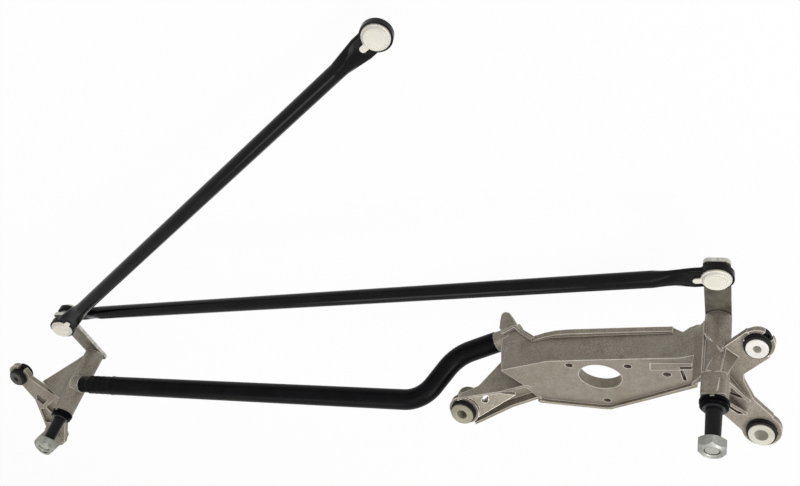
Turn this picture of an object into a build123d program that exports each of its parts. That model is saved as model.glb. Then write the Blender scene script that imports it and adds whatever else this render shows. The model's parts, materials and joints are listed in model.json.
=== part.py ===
from build123d import *
import math
import os

# Wiper linkage: two die-cast housings on a bent cross tube, two spindles with crank arms,
# the long link between the cranks and the motor link with its free ball socket.
# The origin is the centre of the motor hole on the front of the motor plate. +Z points to the
# spindle tips, +X to the right-hand spindle.

os.makedirs("parts", exist_ok=True)

# Driving dimensions, millimetres and degrees
SPINDLE_SPACING = 689.5
SPINDLE_X = 102.4
SPINDLE_Y = 33.1
RIGHT_BOSS_Z = -34.0
LEFT_BOSS_Z = -14.7
BOSS_LENGTH = 79.5
BOSS_OD = 21.0

BUSH_OD = 15.5
BUSH_LENGTH = 16.0
FRONT_BUSH_DEPTH = 3.0
SPINDLE_D = 12.5
RUNNING_CLEARANCE = 0.05
CONE_START = 4.0
CONE_LENGTH = 22.0
CONE_TIP_D = 11.8
THREAD_D = 11.6
NUT_FLATS = 19.0
NUT_HEIGHT = 9.8
NUT_COUNTERSINK = 0.8
THREAD_END_INSET = 1.6
HEAD_D = 15.0
HEAD_HEIGHT = 2.0
STUB_D = 10.0

COLLAR_OD = 24.1
COLLAR_SKIRT = 1.6
COLLAR_HEIGHT = 5.0
COLLAR_EDGE = 1.0
COLLAR_NOTCH = 4.5
CIRCLIP_T = 1.2
CIRCLIP_OD = 17.5
CIRCLIP_GROOVE_D = 11.0
CIRCLIP_GAP = 5.0
AXIAL_CLEARANCE = 0.05
SEAL_SECTION = 1.4

CRANK_LENGTH = 63.0
CRANK_ANGLE = 81.75
CRANK_WIDTH = 20.5
CRANK_T = 4.0
CRANK_GAP = 0.8
CRANK_BALL_MARGIN = 8.2
CRANK_PIVOT_MARGIN = 11.8
CRANK_CORNER = 5.0
THRUST_WASHER_T = 0.6
THRUST_WASHER_OD = 19.5

BALL_D = 12.0
BALL_HEIGHT = 6.0
STUD_SHANK_D = 8.0
STUD_FLANGE_D = 10.0
STUD_FLANGE_T = 0.8
STUD_NECK_D = 7.2
STUD_HEAD_D = 11.5
STUD_HEAD_T = 1.6

SOCKET_PLAY = 0.15
SOCKET_BODY_D = 19.5
SOCKET_BRIM_D = 23.1
SOCKET_FACE_D = 18.6
SOCKET_FRONT = 7.2
SOCKET_MOUTH = 3.8
SOCKET_BRIM_TOP = 4.3
SOCKET_TAB_REACH = 14.6
SOCKET_TAB_D = 5.6

ROD_OD = 14.0
ROD_WALL = 1.2
ROD_FLAT_W = 21.0
ROD_FLAT_T = 5.2
ROD_FLAT_END = 18.0
ROD_ROUND_START = 48.0
EYE_OD = 26.4
EYE_FLOOR_T = 2.0
EYE_REAR = 1.8
EYE_RIM = 3.6
MOTOR_LINK_LENGTH = 541.0
MOTOR_LINK_ANGLE = 25.4
MOTOR_LINK_DROOP = 8.74

TUBE_OD = 19.0
TUBE_WALL = 1.75
TUBE_NECK_D = 17.4
TUBE_NECK_LENGTH = 11.0
TUBE_START = (-575.5, 36.7, 28.2)
TUBE_BEND_1 = (-176.0, -15.0, 15.4)
TUBE_BEND_2 = (-143.9, -3.0, -26.7)
TUBE_END = (-103.1, 2.0, -38.3)
TUBE_BEND_RADII = (36.0, 46.0)
SPIGOT_DEPTH = 18.0
SPIGOT_SHOULDER_D = 17.6

PLATE_T = 5.5
MOTOR_HOLE_D = 37.2
MOTOR_RING_D = 46.0
MOTOR_RING_H = 5.0
MOTOR_BOLT_D = 6.6
MOTOR_BOLT_BOSS_D = 14.0
MOTOR_BOLT_PLACES = ((-22.5, 18.6), (27.6, 15.8), (-3.4, -38.3))
WALL_T = 3.5
WALL_HEIGHT = 30.0
FLANGE_T = 5.2
FLANGE_W = 7.0
LIP_T = 3.5
LIP_H = 4.6

MOUNT_TILT = 22.0
EAR_T = 8.0
RIGHT_EAR_Z = 4.96
LEFT_EAR_Z = 37.3
GROMMET_FLANGE_T = 5.0
GROMMET_REAR_T = 3.5
SLEEVE_FLANGE_T = 1.5

# Places worked out from the driving dimensions
LEFT_X = SPINDLE_X - SPINDLE_SPACING
right_base = Plane(origin=(SPINDLE_X, SPINDLE_Y, RIGHT_BOSS_Z))
left_base = Plane(origin=(LEFT_X, SPINDLE_Y, LEFT_BOSS_Z))
sides = (("left", left_base), ("right", right_base))

crank_dir = Vector(math.cos(math.radians(CRANK_ANGLE)), math.sin(math.radians(CRANK_ANGLE)), 0)
z_unit = Vector(0, 0, 1)
crank_face = -CRANK_GAP
crank_back = crank_face - CRANK_T
ball_right = right_base.origin + crank_dir * CRANK_LENGTH + z_unit * (crank_face + BALL_HEIGHT)
ball_front = left_base.origin + crank_dir * CRANK_LENGTH + z_unit * (crank_face + BALL_HEIGHT)
ball_rear = left_base.origin + crank_dir * CRANK_LENGTH + z_unit * (crank_back - BALL_HEIGHT)

tilt = math.radians(MOUNT_TILT)
foot_normal = Vector(0, math.sin(tilt), math.cos(tilt))
right_feet = Plane(origin=(SPINDLE_X, SPINDLE_Y, RIGHT_EAR_Z), x_dir=(1, 0, 0), z_dir=foot_normal)
left_feet = Plane(origin=(LEFT_X, SPINDLE_Y, LEFT_EAR_Z), x_dir=(1, 0, 0), z_dir=foot_normal)


def save(piece, name):
    """Label a finished piece and write it as one STEP file."""
    piece.part.label = name
    export_step(piece.part, f"parts/{name}.step")


def profile_plane(base):
    """The plane through a base's axis: its x is the radius and its y is the height."""
    return Plane(origin=base.origin, x_dir=base.x_dir, z_dir=-base.y_dir)


def plane_through(first, second, third):
    """A plane through three points, with its normal towards +Z."""
    normal = (Vector(second) - Vector(first)).cross(Vector(third) - Vector(first))
    if normal.Z < 0:
        normal = normal * -1
    return Plane(origin=first, z_dir=normal)


# Feet: name, plane, place in the plane, ring diameter, washer, hole, rubber, angle of an open ring
feet = (
    ("right_upper", right_feet, (31.8, 12.0), 28.6, 16.8, 6.2, 20.4, 40.0),
    ("right_lower", right_feet, (25.2, -70.0), 30.6, 20.0, 10.4, 23.6, None),
    ("arm", right_feet, (-232.3, -53.3), 29.0, 21.4, 9.4, 24.0, None),
    ("left_upper", left_feet, (-73.2, 23.8), 28.6, 16.8, 6.2, 20.4, 50.0),
    ("left_lower", left_feet, (-68.4, -62.2), 28.6, 20.0, 10.4, 23.6, None),
)
GROMMET_CORE_INSET = 2.5
GROMMET_ROOM = 0.4
SLEEVE_WALL = 2.0
OPEN_RING_GAP = 8.0

# Turned pieces on each spindle axis, with heights counted from the rear end of the boss
boss_front = BOSS_LENGTH
collar_top = boss_front + COLLAR_HEIGHT
circlip_low = collar_top + AXIAL_CLEARANCE
circlip_high = circlip_low + CIRCLIP_T
cone_low = circlip_high + CONE_START
cone_high = cone_low + CONE_LENGTH
nut_high = cone_high + NUT_HEIGHT
thread_high = nut_high - THREAD_END_INSET
seal_radius = (BUSH_OD + SPINDLE_D) / 4

for side, base in sides:
    axis = Axis(base.origin, base.z_dir)

    with BuildPart() as spindle:
        with BuildSketch(profile_plane(base)):
            with BuildLine():
                Polyline(
                    (0, crank_back - HEAD_HEIGHT),
                    (HEAD_D / 2 - 0.7, crank_back - HEAD_HEIGHT),
                    (HEAD_D / 2, crank_back - HEAD_HEIGHT + 0.7),
                    (HEAD_D / 2, crank_back),
                    (STUB_D / 2, crank_back),
                    (STUB_D / 2, crank_face),
                    (SPINDLE_D / 2, crank_face),
                    (SPINDLE_D / 2, circlip_low),
                    (CIRCLIP_GROOVE_D / 2, circlip_low),
                    (CIRCLIP_GROOVE_D / 2, circlip_high),
                    (SPINDLE_D / 2, circlip_high),
                    (SPINDLE_D / 2, cone_low),
                    (CONE_TIP_D / 2, cone_high),
                    (THREAD_D / 2, cone_high),
                    (THREAD_D / 2, thread_high - 0.8),
                    (THREAD_D / 2 - 0.8, thread_high),
                    (0, thread_high),
                    close=True,
                )
            make_face()
        revolve(axis=axis)
    save(spindle, f"spindle_{side}")

    with BuildPart() as crank:
        crank_plane = Plane(
            origin=base.origin + z_unit * crank_back, x_dir=crank_dir, z_dir=(0, 0, 1)
        )
        length = CRANK_PIVOT_MARGIN + CRANK_LENGTH + CRANK_BALL_MARGIN
        with BuildSketch(crank_plane):
            with Locations((length / 2 - CRANK_PIVOT_MARGIN, 0)):
                RectangleRounded(length, CRANK_WIDTH, CRANK_CORNER)
            Circle(STUB_D / 2, mode=Mode.SUBTRACT)
            with Locations((CRANK_LENGTH, 0)):
                Circle(STUD_SHANK_D / 2, mode=Mode.SUBTRACT)
        extrude(amount=CRANK_T)
    save(crank, f"crank_{side}")

    with BuildPart() as nut:
        with BuildSketch(base.offset(cone_high)):
            RegularPolygon(NUT_FLATS / 2, 6, major_radius=False, rotation=20)
        extrude(amount=NUT_HEIGHT)
        corner = NUT_FLATS / math.sqrt(3)
        with BuildSketch(profile_plane(base)):
            with BuildLine():
                Polyline(
                    (THREAD_D / 2 + RUNNING_CLEARANCE, cone_high),
                    (NUT_FLATS / 2 - 0.4, cone_high),
                    (corner, cone_high + 1.2),
                    (corner, nut_high - 3.4),
                    (NUT_FLATS / 2 - 1.2, nut_high),
                    (THREAD_D / 2 + NUT_COUNTERSINK, nut_high),
                    (THREAD_D / 2 + RUNNING_CLEARANCE, nut_high - NUT_COUNTERSINK),
                    close=True,
                )
            make_face()
        revolve(axis=axis, mode=Mode.INTERSECT)
    save(nut, f"nut_{side}")

    with BuildPart() as collar:
        skirt = boss_front - COLLAR_SKIRT
        with BuildSketch(profile_plane(base)):
            with BuildLine():
                Polyline(
                    (BOSS_OD / 2 + RUNNING_CLEARANCE, skirt),
                    (COLLAR_OD / 2 - COLLAR_EDGE / 2, skirt),
                    (COLLAR_OD / 2, skirt + COLLAR_EDGE / 2),
                    (COLLAR_OD / 2, collar_top - COLLAR_EDGE),
                    (COLLAR_OD / 2 - COLLAR_EDGE, collar_top),
                    (SPINDLE_D / 2 + RUNNING_CLEARANCE, collar_top),
                    (SPINDLE_D / 2 + RUNNING_CLEARANCE, boss_front),
                    (BOSS_OD / 2 + RUNNING_CLEARANCE, boss_front),
                    close=True,
                )
            make_face()
        revolve(axis=axis)
        with BuildSketch(base.offset(skirt)):
            with Locations((0, COLLAR_OD / 2)):
                Rectangle(COLLAR_NOTCH, COLLAR_OD / 2 - BOSS_OD / 2 + COLLAR_EDGE)
        extrude(amount=COLLAR_SKIRT + COLLAR_EDGE, mode=Mode.SUBTRACT)
    save(collar, f"collar_{side}")

    with BuildPart() as circlip:
        with BuildSketch(base.offset(circlip_low)):
            Circle(CIRCLIP_OD / 2)
            Circle(CIRCLIP_GROOVE_D / 2, mode=Mode.SUBTRACT)
            with Locations((0, -CIRCLIP_OD / 2)):
                Rectangle(CIRCLIP_GAP, CIRCLIP_OD / 2, mode=Mode.SUBTRACT)
        extrude(amount=CIRCLIP_T)
    save(circlip, f"circlip_{side}")

    bush_front_low = boss_front - FRONT_BUSH_DEPTH - BUSH_LENGTH
    for place, bush_low in (("rear", 0.0), ("front", bush_front_low)):
        with BuildPart() as bush:
            with BuildSketch(base.offset(bush_low)):
                Circle(BUSH_OD / 2)
                Circle(SPINDLE_D / 2 + RUNNING_CLEARANCE, mode=Mode.SUBTRACT)
            extrude(amount=BUSH_LENGTH)
        save(bush, f"bush_{side}_{place}")

    with BuildPart() as seal:
        with BuildSketch(profile_plane(base)):
            with Locations((seal_radius, boss_front - FRONT_BUSH_DEPTH + SEAL_SECTION / 2)):
                Circle(SEAL_SECTION / 2)
        revolve(axis=axis)
    save(seal, f"o_ring_{side}")

    with BuildPart() as thrust_washer:
        with BuildSketch(base.offset(crank_face + (CRANK_GAP - THRUST_WASHER_T) / 2)):
            Circle(THRUST_WASHER_OD / 2)
            Circle(SPINDLE_D / 2 + RUNNING_CLEARANCE, mode=Mode.SUBTRACT)
        extrude(amount=THRUST_WASHER_T)
    save(thrust_washer, f"thrust_washer_{side}")

# Ball studs, with heights counted from the crank face that each ball stands on
with BuildPart() as ball_stud_right:
    stud_plane = Plane(origin=ball_right - z_unit * BALL_HEIGHT)
    with BuildSketch(profile_plane(stud_plane)):
        with BuildLine():
            Polyline(
                (0, -CRANK_T - STUD_HEAD_T),
                (STUD_HEAD_D / 2 - 0.8, -CRANK_T - STUD_HEAD_T),
                (STUD_HEAD_D / 2, -CRANK_T),
                (STUD_SHANK_D / 2, -CRANK_T),
                (STUD_SHANK_D / 2, 0),
                (STUD_FLANGE_D / 2, 0),
                (STUD_FLANGE_D / 2, STUD_FLANGE_T),
                (STUD_NECK_D / 2, STUD_FLANGE_T),
                (STUD_NECK_D / 2, BALL_HEIGHT),
                (0, BALL_HEIGHT),
                close=True,
            )
        make_face()
    revolve(axis=Axis(stud_plane.origin, (0, 0, 1)))
    with Locations(ball_right):
        Sphere(BALL_D / 2)
save(ball_stud_right, "ball_stud_right")

with BuildPart() as ball_pin_left:
    pin_plane = Plane(origin=ball_front - z_unit * BALL_HEIGHT)
    with BuildSketch(profile_plane(pin_plane)):
        with BuildLine():
            Polyline(
                (0, -CRANK_T - BALL_HEIGHT),
                (STUD_NECK_D / 2, -CRANK_T - BALL_HEIGHT),
                (STUD_NECK_D / 2, -CRANK_T - STUD_FLANGE_T),
                (STUD_FLANGE_D / 2, -CRANK_T - STUD_FLANGE_T),
                (STUD_FLANGE_D / 2, -CRANK_T),
                (STUD_SHANK_D / 2, -CRANK_T),
                (STUD_SHANK_D / 2, 0),
                (STUD_FLANGE_D / 2, 0),
                (STUD_FLANGE_D / 2, STUD_FLANGE_T),
                (STUD_NECK_D / 2, STUD_FLANGE_T),
                (STUD_NECK_D / 2, BALL_HEIGHT),
                (0, BALL_HEIGHT),
                close=True,
            )
        make_face()
    revolve(axis=Axis(pin_plane.origin, (0, 0, 1)))
    with Locations(ball_front, ball_rear):
        Sphere(BALL_D / 2)
save(ball_pin_left, "ball_pin_left")

# Link rods. Each end plane stands at a ball centre, its x points along the rod and its z out of
# the socket's closed face.
long_dir = (ball_right - ball_rear).normalized()
long_length = (ball_right - ball_rear).length
swing = math.radians(MOTOR_LINK_ANGLE)
droop = math.radians(MOTOR_LINK_DROOP)
motor_dir = Vector(
    math.cos(swing) * math.cos(droop), math.sin(swing) * math.cos(droop), -math.sin(droop)
)
motor_up = Vector(
    math.cos(swing) * math.sin(droop), math.sin(swing) * math.sin(droop), math.cos(droop)
)
long_side = z_unit.cross(long_dir).normalized()
long_up = long_dir.cross(long_side)
ball_free = ball_front + motor_dir * MOTOR_LINK_LENGTH

rods = (
    (
        "long_link",
        Plane(origin=ball_rear, x_dir=long_dir, z_dir=long_up * -1),
        Plane(origin=ball_right, x_dir=long_dir * -1, z_dir=long_up),
        long_length,
        ("long_link_left", "long_link_right"),
    ),
    (
        "motor_link",
        Plane(origin=ball_front, x_dir=motor_dir, z_dir=motor_up),
        Plane(origin=ball_free, x_dir=motor_dir * -1, z_dir=motor_up),
        MOTOR_LINK_LENGTH,
        ("motor_link_left", "motor_link_free"),
    ),
)
flat_middle = (EYE_RIM - EYE_REAR) / 2 - 0.1


for rod_name, near_plane, far_plane, rod_length, socket_names in rods:
    with BuildPart() as rod:
        round_plane = Plane(
            origin=near_plane.origin + near_plane.x_dir * ROD_ROUND_START,
            x_dir=near_plane.y_dir,
            z_dir=near_plane.x_dir,
        )
        with BuildSketch(round_plane):
            Circle(ROD_OD / 2)
        extrude(amount=rod_length - 2 * ROD_ROUND_START)
        for end_plane in (near_plane, far_plane):
            start_plane = Plane(
                origin=end_plane.origin + end_plane.x_dir * ROD_ROUND_START,
                x_dir=end_plane.y_dir,
                z_dir=end_plane.x_dir,
            )
            flat_plane = Plane(
                origin=end_plane.origin
                + end_plane.x_dir * ROD_FLAT_END
                + end_plane.z_dir * flat_middle,
                x_dir=end_plane.y_dir,
                z_dir=end_plane.x_dir,
            )
            with BuildSketch(start_plane):
                Circle(ROD_OD / 2)
            with BuildSketch(flat_plane):
                SlotOverall(ROD_FLAT_W, ROD_FLAT_T)
            loft()
            with BuildSketch(flat_plane):
                SlotOverall(ROD_FLAT_W, ROD_FLAT_T)
            extrude(amount=-(ROD_FLAT_END - EYE_OD / 4))
            with BuildSketch(end_plane.offset(-EYE_REAR)):
                Circle(EYE_OD / 2)
            extrude(amount=EYE_REAR + EYE_RIM)
            with BuildSketch(end_plane.offset(EYE_FLOOR_T - EYE_REAR)):
                Circle(SOCKET_BRIM_D / 2 + 0.1)
            extrude(amount=EYE_RIM + EYE_FLOOR_T, mode=Mode.SUBTRACT)
            with BuildSketch(end_plane.offset(-2 * EYE_REAR)):
                Circle(SOCKET_BODY_D / 2 + 0.05)
            extrude(amount=4 * EYE_REAR, mode=Mode.SUBTRACT)
        with BuildSketch(round_plane.offset(ROD_WALL)):
            Circle(ROD_OD / 2 - ROD_WALL)
        extrude(amount=rod_length - 2 * ROD_ROUND_START - 2 * ROD_WALL, mode=Mode.SUBTRACT)
    save(rod, f"{rod_name}_rod")

    for end_plane, socket_name in zip((near_plane, far_plane), socket_names):
        with BuildPart() as socket:
            with BuildSketch(profile_plane(end_plane)):
                with BuildLine():
                    Polyline(
                        (0, -SOCKET_MOUTH),
                        (SOCKET_BODY_D / 2 - 0.6, -SOCKET_MOUTH),
                        (SOCKET_BODY_D / 2, -SOCKET_MOUTH + 0.8),
                        (SOCKET_BODY_D / 2, EYE_FLOOR_T - EYE_REAR),
                        (SOCKET_BRIM_D / 2, EYE_FLOOR_T - EYE_REAR),
                        (SOCKET_BRIM_D / 2, SOCKET_BRIM_TOP),
                        (SOCKET_FACE_D / 2 + 0.9, SOCKET_BRIM_TOP + 0.2),
                        (SOCKET_FACE_D / 2, SOCKET_FRONT - 0.9),
                        (SOCKET_FACE_D / 2 - 0.9, SOCKET_FRONT),
                        (0, SOCKET_FRONT),
                        close=True,
                    )
                make_face()
            revolve(axis=Axis(end_plane.origin, end_plane.z_dir))
            with BuildSketch(end_plane.offset(EYE_RIM + 0.1)):
                with Locations((SOCKET_TAB_REACH / 2, 0)):
                    SlotOverall(SOCKET_TAB_REACH + SOCKET_TAB_D, SOCKET_TAB_D)
            extrude(amount=SOCKET_BRIM_TOP - EYE_RIM)
            with Locations(end_plane.origin):
                Sphere(BALL_D / 2 + SOCKET_PLAY, mode=Mode.SUBTRACT)
        save(socket, f"socket_{socket_name}")

# Cross tube, with a swaged neck at its left end
with BuildPart() as cross_tube:
    with BuildLine() as tube_path:
        FilletPolyline(TUBE_START, TUBE_BEND_1, TUBE_BEND_2, TUBE_END, radius=TUBE_BEND_RADII)
    tube_left = Plane(origin=TUBE_START, z_dir=Vector(TUBE_BEND_1) - Vector(TUBE_START))
    tube_right = Plane(origin=TUBE_END, z_dir=Vector(TUBE_END) - Vector(TUBE_BEND_2))
    with BuildSketch(tube_left):
        Circle(TUBE_OD / 2)
        Circle(TUBE_OD / 2 - TUBE_WALL, mode=Mode.SUBTRACT)
    sweep()
    with BuildSketch(tube_left):
        Circle(TUBE_OD / 2 + 1)
        Circle(TUBE_NECK_D / 2, mode=Mode.SUBTRACT)
    extrude(amount=TUBE_NECK_LENGTH, mode=Mode.SUBTRACT)
save(cross_tube, "cross_tube")
spigot_r = TUBE_OD / 2 - TUBE_WALL - RUNNING_CLEARANCE

# Motor bracket: tray with a plate and a near wall, a horn, a foot on the left, the right boss
PLATE_OUTLINE = (
    (-87.0, 12.5), (-40.3, 25.5), (7.0, 26.6), (73.0, 27.2), (84.0, 30.0), (96.0, 40.0),
    (100.0, 24.0), (86.0, 12.0), (83.0, 5.6), (78.3, -8.0), (-1.9, -49.1), (-8.0, -48.3),
    (-56.9, -37.6), (-67.0, -34.0), (-74.6, -13.0), (-87.9, 11.0),
)
WALL_LINE = ((-87.0, 12.5), (-40.3, 25.5), (7.0, 26.6), (73.0, 27.2), (84.0, 30.5), (95.0, 38.0))
FAR_LINE = ((-66.0, -31.6), (-56.3, -35.2), (-8.0, -45.7), (-2.5, -46.4), (77.0, -5.6), (82.0, 9.0))
HORN_LINE = Plane(origin=(-87.0, 12.5, 0.0), x_dir=(46.7, 13.0, 0), z_dir=(13.0, -46.7, 0))
WALL_TOP = -30.0

FOOT_ROOT = (-74.6, -13.0, 0.0)
FOOT_RIDGE = (-94.8, -9.1, 10.0)
FOOT_TOP = (-127.0, -3.0, 19.0)
FOOT_LOW = (-117.4, -23.6, 26.0)
FOOT_FLOOR_T = 4.0
FOOT_FAR_Y = -31.5
PANEL_T = 3.0
foot_wall = Plane(origin=FOOT_ROOT, x_dir=(-52.4, 10.0, 0), z_dir=(10.0, 52.4, 0))
panel_front = plane_through(FOOT_TOP, FOOT_RIDGE, FOOT_LOW)
floor_front = plane_through((-75.0, -13.0, -4.0), (-120.0, -5.0, 13.0), (-120.0, -33.0, 14.0))

with BuildPart() as foot_panel:
    with BuildSketch(Plane.XY.offset(-30)):
        with BuildLine():
            Polyline(
                (-133, -4), (-127, -4), (-95, -10), (-82, -16), (-117.4, -25), (-133, -22), close=True
            )
        make_face()
    extrude(amount=80)
    split(bisect_by=panel_front, keep=Keep.BOTTOM)
    split(bisect_by=panel_front.offset(-PANEL_T), keep=Keep.TOP)

with BuildPart() as foot_floor:
    with BuildSketch(Plane.XY.offset(-60)):
        with BuildLine():
            Polyline(
                (-66, -15), (-75, -15), (-133, -4), (-133, -24), (-121, -34), (-66, -34), close=True
            )
        make_face()
    extrude(amount=120)
    split(bisect_by=floor_front, keep=Keep.BOTTOM)
    split(bisect_by=floor_front.offset(-FOOT_FLOOR_T), keep=Keep.TOP)

with BuildPart() as motor_bracket:
    with BuildSketch(Plane.XY.offset(-PLATE_T)):
        with BuildLine():
            Polyline(*PLATE_OUTLINE, close=True)
        make_face()
    extrude(amount=PLATE_T)

    with BuildSketch(Plane.XY.offset(WALL_TOP)):
        with BuildLine():
            Polyline(*[(x, y - WALL_T / 2) for x, y in WALL_LINE])
        trace(line_width=WALL_T)
    extrude(amount=-WALL_TOP)

    with BuildSketch(Plane.XY.offset(WALL_TOP)):
        with BuildLine():
            Polyline((-58.0, 21.0), (-40.3, 25.9), (7.0, 27.0), (65.5, 27.6))
        trace(line_width=FLANGE_W)
    extrude(amount=FLANGE_T)

    with BuildSketch(HORN_LINE):
        with BuildLine():
            Polyline(
                (0.5, 0.0), (-7.0, -41.5), (-12.0, -45.5), (-11.0, -58.0), (-9.0, -64.5), (-6.5, -64.0),
                (4.0, -52.0), (29.5, -30.0), (29.5, 0.0), close=True,
            )
        make_face()
    extrude(amount=WALL_T)

    with BuildSketch(Plane.XY):
        with BuildLine():
            Polyline(*FAR_LINE)
        trace(line_width=LIP_T + 1.5)
    extrude(amount=LIP_H / 2)

    with BuildSketch(Plane.XY.offset(-PLATE_T)):
        Circle(MOTOR_RING_D / 2)
        with Locations(*MOTOR_BOLT_PLACES):
            Circle(MOTOR_BOLT_BOSS_D / 2)
    extrude(amount=-MOTOR_RING_H)

    with BuildSketch(Plane.XY.offset(-PLATE_T)):
        with BuildLine():
            Polyline((-66, -31.6), (-84, 8))
        trace(line_width=WALL_T)
        with BuildLine():
            Polyline((22, -6), (76, -2))
        trace(line_width=WALL_T)
        with BuildLine():
            Polyline((-22, 6), (-80, 0))
        trace(line_width=WALL_T)
        with BuildLine():
            Polyline((30, 24), (78, 0), (98, 26))
        trace(line_width=WALL_T)
    extrude(amount=-2 * MOTOR_RING_H)

    with BuildSketch(Plane.XY):
        with Locations((64.0, 17.5)):
            Rectangle(36.0, 10.0)
    extrude(amount=1.4)

    # Foot on the left with its mounting ear
    with BuildSketch(foot_wall):
        with BuildLine():
            Polyline(
                (-12, -24), (-12, 0), (0, 0), (20.6, 10), (53.4, 19), (58, 20), (56, 13), (37, 4),
                (20, -20), (8, -24), close=True,
            )
        make_face()
    extrude(amount=-WALL_T)
    with BuildSketch(Plane.XZ.offset(-FOOT_FAR_Y)):
        with BuildLine():
            Polyline(
                (-64, -8), (-64, 1), (-68, 1.5), (-90.3, 10), (-118.5, 26), (-124, 29), (-124, 12),
                (-90, -4), (-72, -8), close=True,
            )
        make_face()
    extrude(amount=WALL_T)
    add(foot_panel.part)
    add(foot_floor.part)

    # Boss, the block round its front half and the V-plate with the two right ears
    with BuildSketch(right_base):
        Circle(BOSS_OD / 2)
    extrude(amount=BOSS_LENGTH)
    with BuildSketch(Plane.XY.offset(15.0)):
        with Locations((SPINDLE_X, SPINDLE_Y + 0.7)):
            RectangleRounded(19.0, 19.6, 3.0)
    extrude(amount=28.0)
    with BuildSketch(Plane.XY.offset(-28.0)):
        with BuildLine():
            Polyline((83.5, 27.5), (84.5, 31.0), (96.0, 43.0), (99.0, 40.0), (92.0, 33.0), close=True)
        make_face()
    extrude(amount=54.0)

    with BuildSketch(right_feet):
        with BuildLine():
            Polyline(
                (-9.0, 0.0), (4.4, 8.5), (27.1, 25.7), (31.8, 12.0), (39.1, -0.1), (18.2, -15.5),
                (23.1, -39.6), (33.7, -53.0), (25.2, -70.0), (13.6, -74.5), (1.9, -60.4), (-1.1, -55.3),
                (-9.5, -38.0), close=True,
            )
        make_face()
        with Locations((31.8, 12.0)):
            Circle(14.3)
        with Locations((25.2, -70.0)):
            Circle(15.3)
        with Locations((-232.3, -53.3)):
            Circle(14.5)
    extrude(amount=-EAR_T)
    for pocket in (
        ((-2.5, -13.5), (13.5, -2.2), (-3.4, -28.6), (-6.5, -30.0)),
        ((7.2, -25.0), (18.6, -40.4), (5.4, -34.6)),
        ((3.0, -42.2), (8.9, -43.6), (16.3, -53.9), (9.1, -54.0), (3.0, -48.0)),
    ):
        with BuildSketch(right_feet):
            with BuildLine():
                Polyline(*pocket, close=True)
            make_face()
        extrude(amount=-5.0, mode=Mode.SUBTRACT)

    # Spigot that carries the right end of the cross tube, and its shoulder
    with BuildSketch(tube_right.offset(-SPIGOT_DEPTH)):
        Circle(spigot_r)
    extrude(amount=SPIGOT_DEPTH)
    with BuildSketch(tube_right):
        Circle(SPIGOT_SHOULDER_D / 2)
    extrude(amount=26.0)

    # Bores, holes and slots
    with BuildSketch(Plane.XY.offset(-40)):
        Circle(MOTOR_HOLE_D / 2)
        with Locations(*MOTOR_BOLT_PLACES):
            Circle(MOTOR_BOLT_D / 2)
        with Locations((57.5, 2.2)):
            Circle(3.5)
        with Locations((75.0, 13.9)):
            SlotOverall(10.0, 3.0)
        with Locations((70.3, 1.0)):
            SlotOverall(15.0, 3.0, rotation=80)
    extrude(amount=60, mode=Mode.SUBTRACT)
    with BuildSketch(right_base):
        Circle(BUSH_OD / 2)
    extrude(amount=BOSS_LENGTH, mode=Mode.SUBTRACT)
    with BuildSketch(panel_front.offset(-2 * PANEL_T)):
        with Locations(panel_front.to_local_coords(Vector(-103.5, -10.5, 17.0))):
            SlotOverall(8.0, 4.5, rotation=20)
    extrude(amount=3 * PANEL_T, mode=Mode.SUBTRACT)
    for name, plane, spot, ring_d, washer_d, hole_d, rubber_d, open_at in feet[:3]:
        with BuildSketch(plane.offset(2 * EAR_T)):
            with Locations(spot):
                Circle(rubber_d / 2 - GROMMET_CORE_INSET)
        extrude(amount=-5 * EAR_T, mode=Mode.SUBTRACT)
        with BuildSketch(plane):
            with Locations(spot):
                Circle(rubber_d / 2 + GROMMET_ROOM)
        extrude(amount=2 * EAR_T, mode=Mode.SUBTRACT)
        with BuildSketch(plane.offset(-EAR_T)):
            with Locations(spot):
                Circle(rubber_d / 2 + GROMMET_ROOM)
        extrude(amount=-3 * EAR_T, mode=Mode.SUBTRACT)
        if open_at is not None:
            with BuildSketch(plane):
                with Locations(Location((spot[0], spot[1], 0), open_at)):
                    with Locations((ring_d / 2, 0)):
                        Rectangle(ring_d, OPEN_RING_GAP)
            extrude(amount=-EAR_T, mode=Mode.SUBTRACT)
save(motor_bracket, "motor_bracket")

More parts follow.
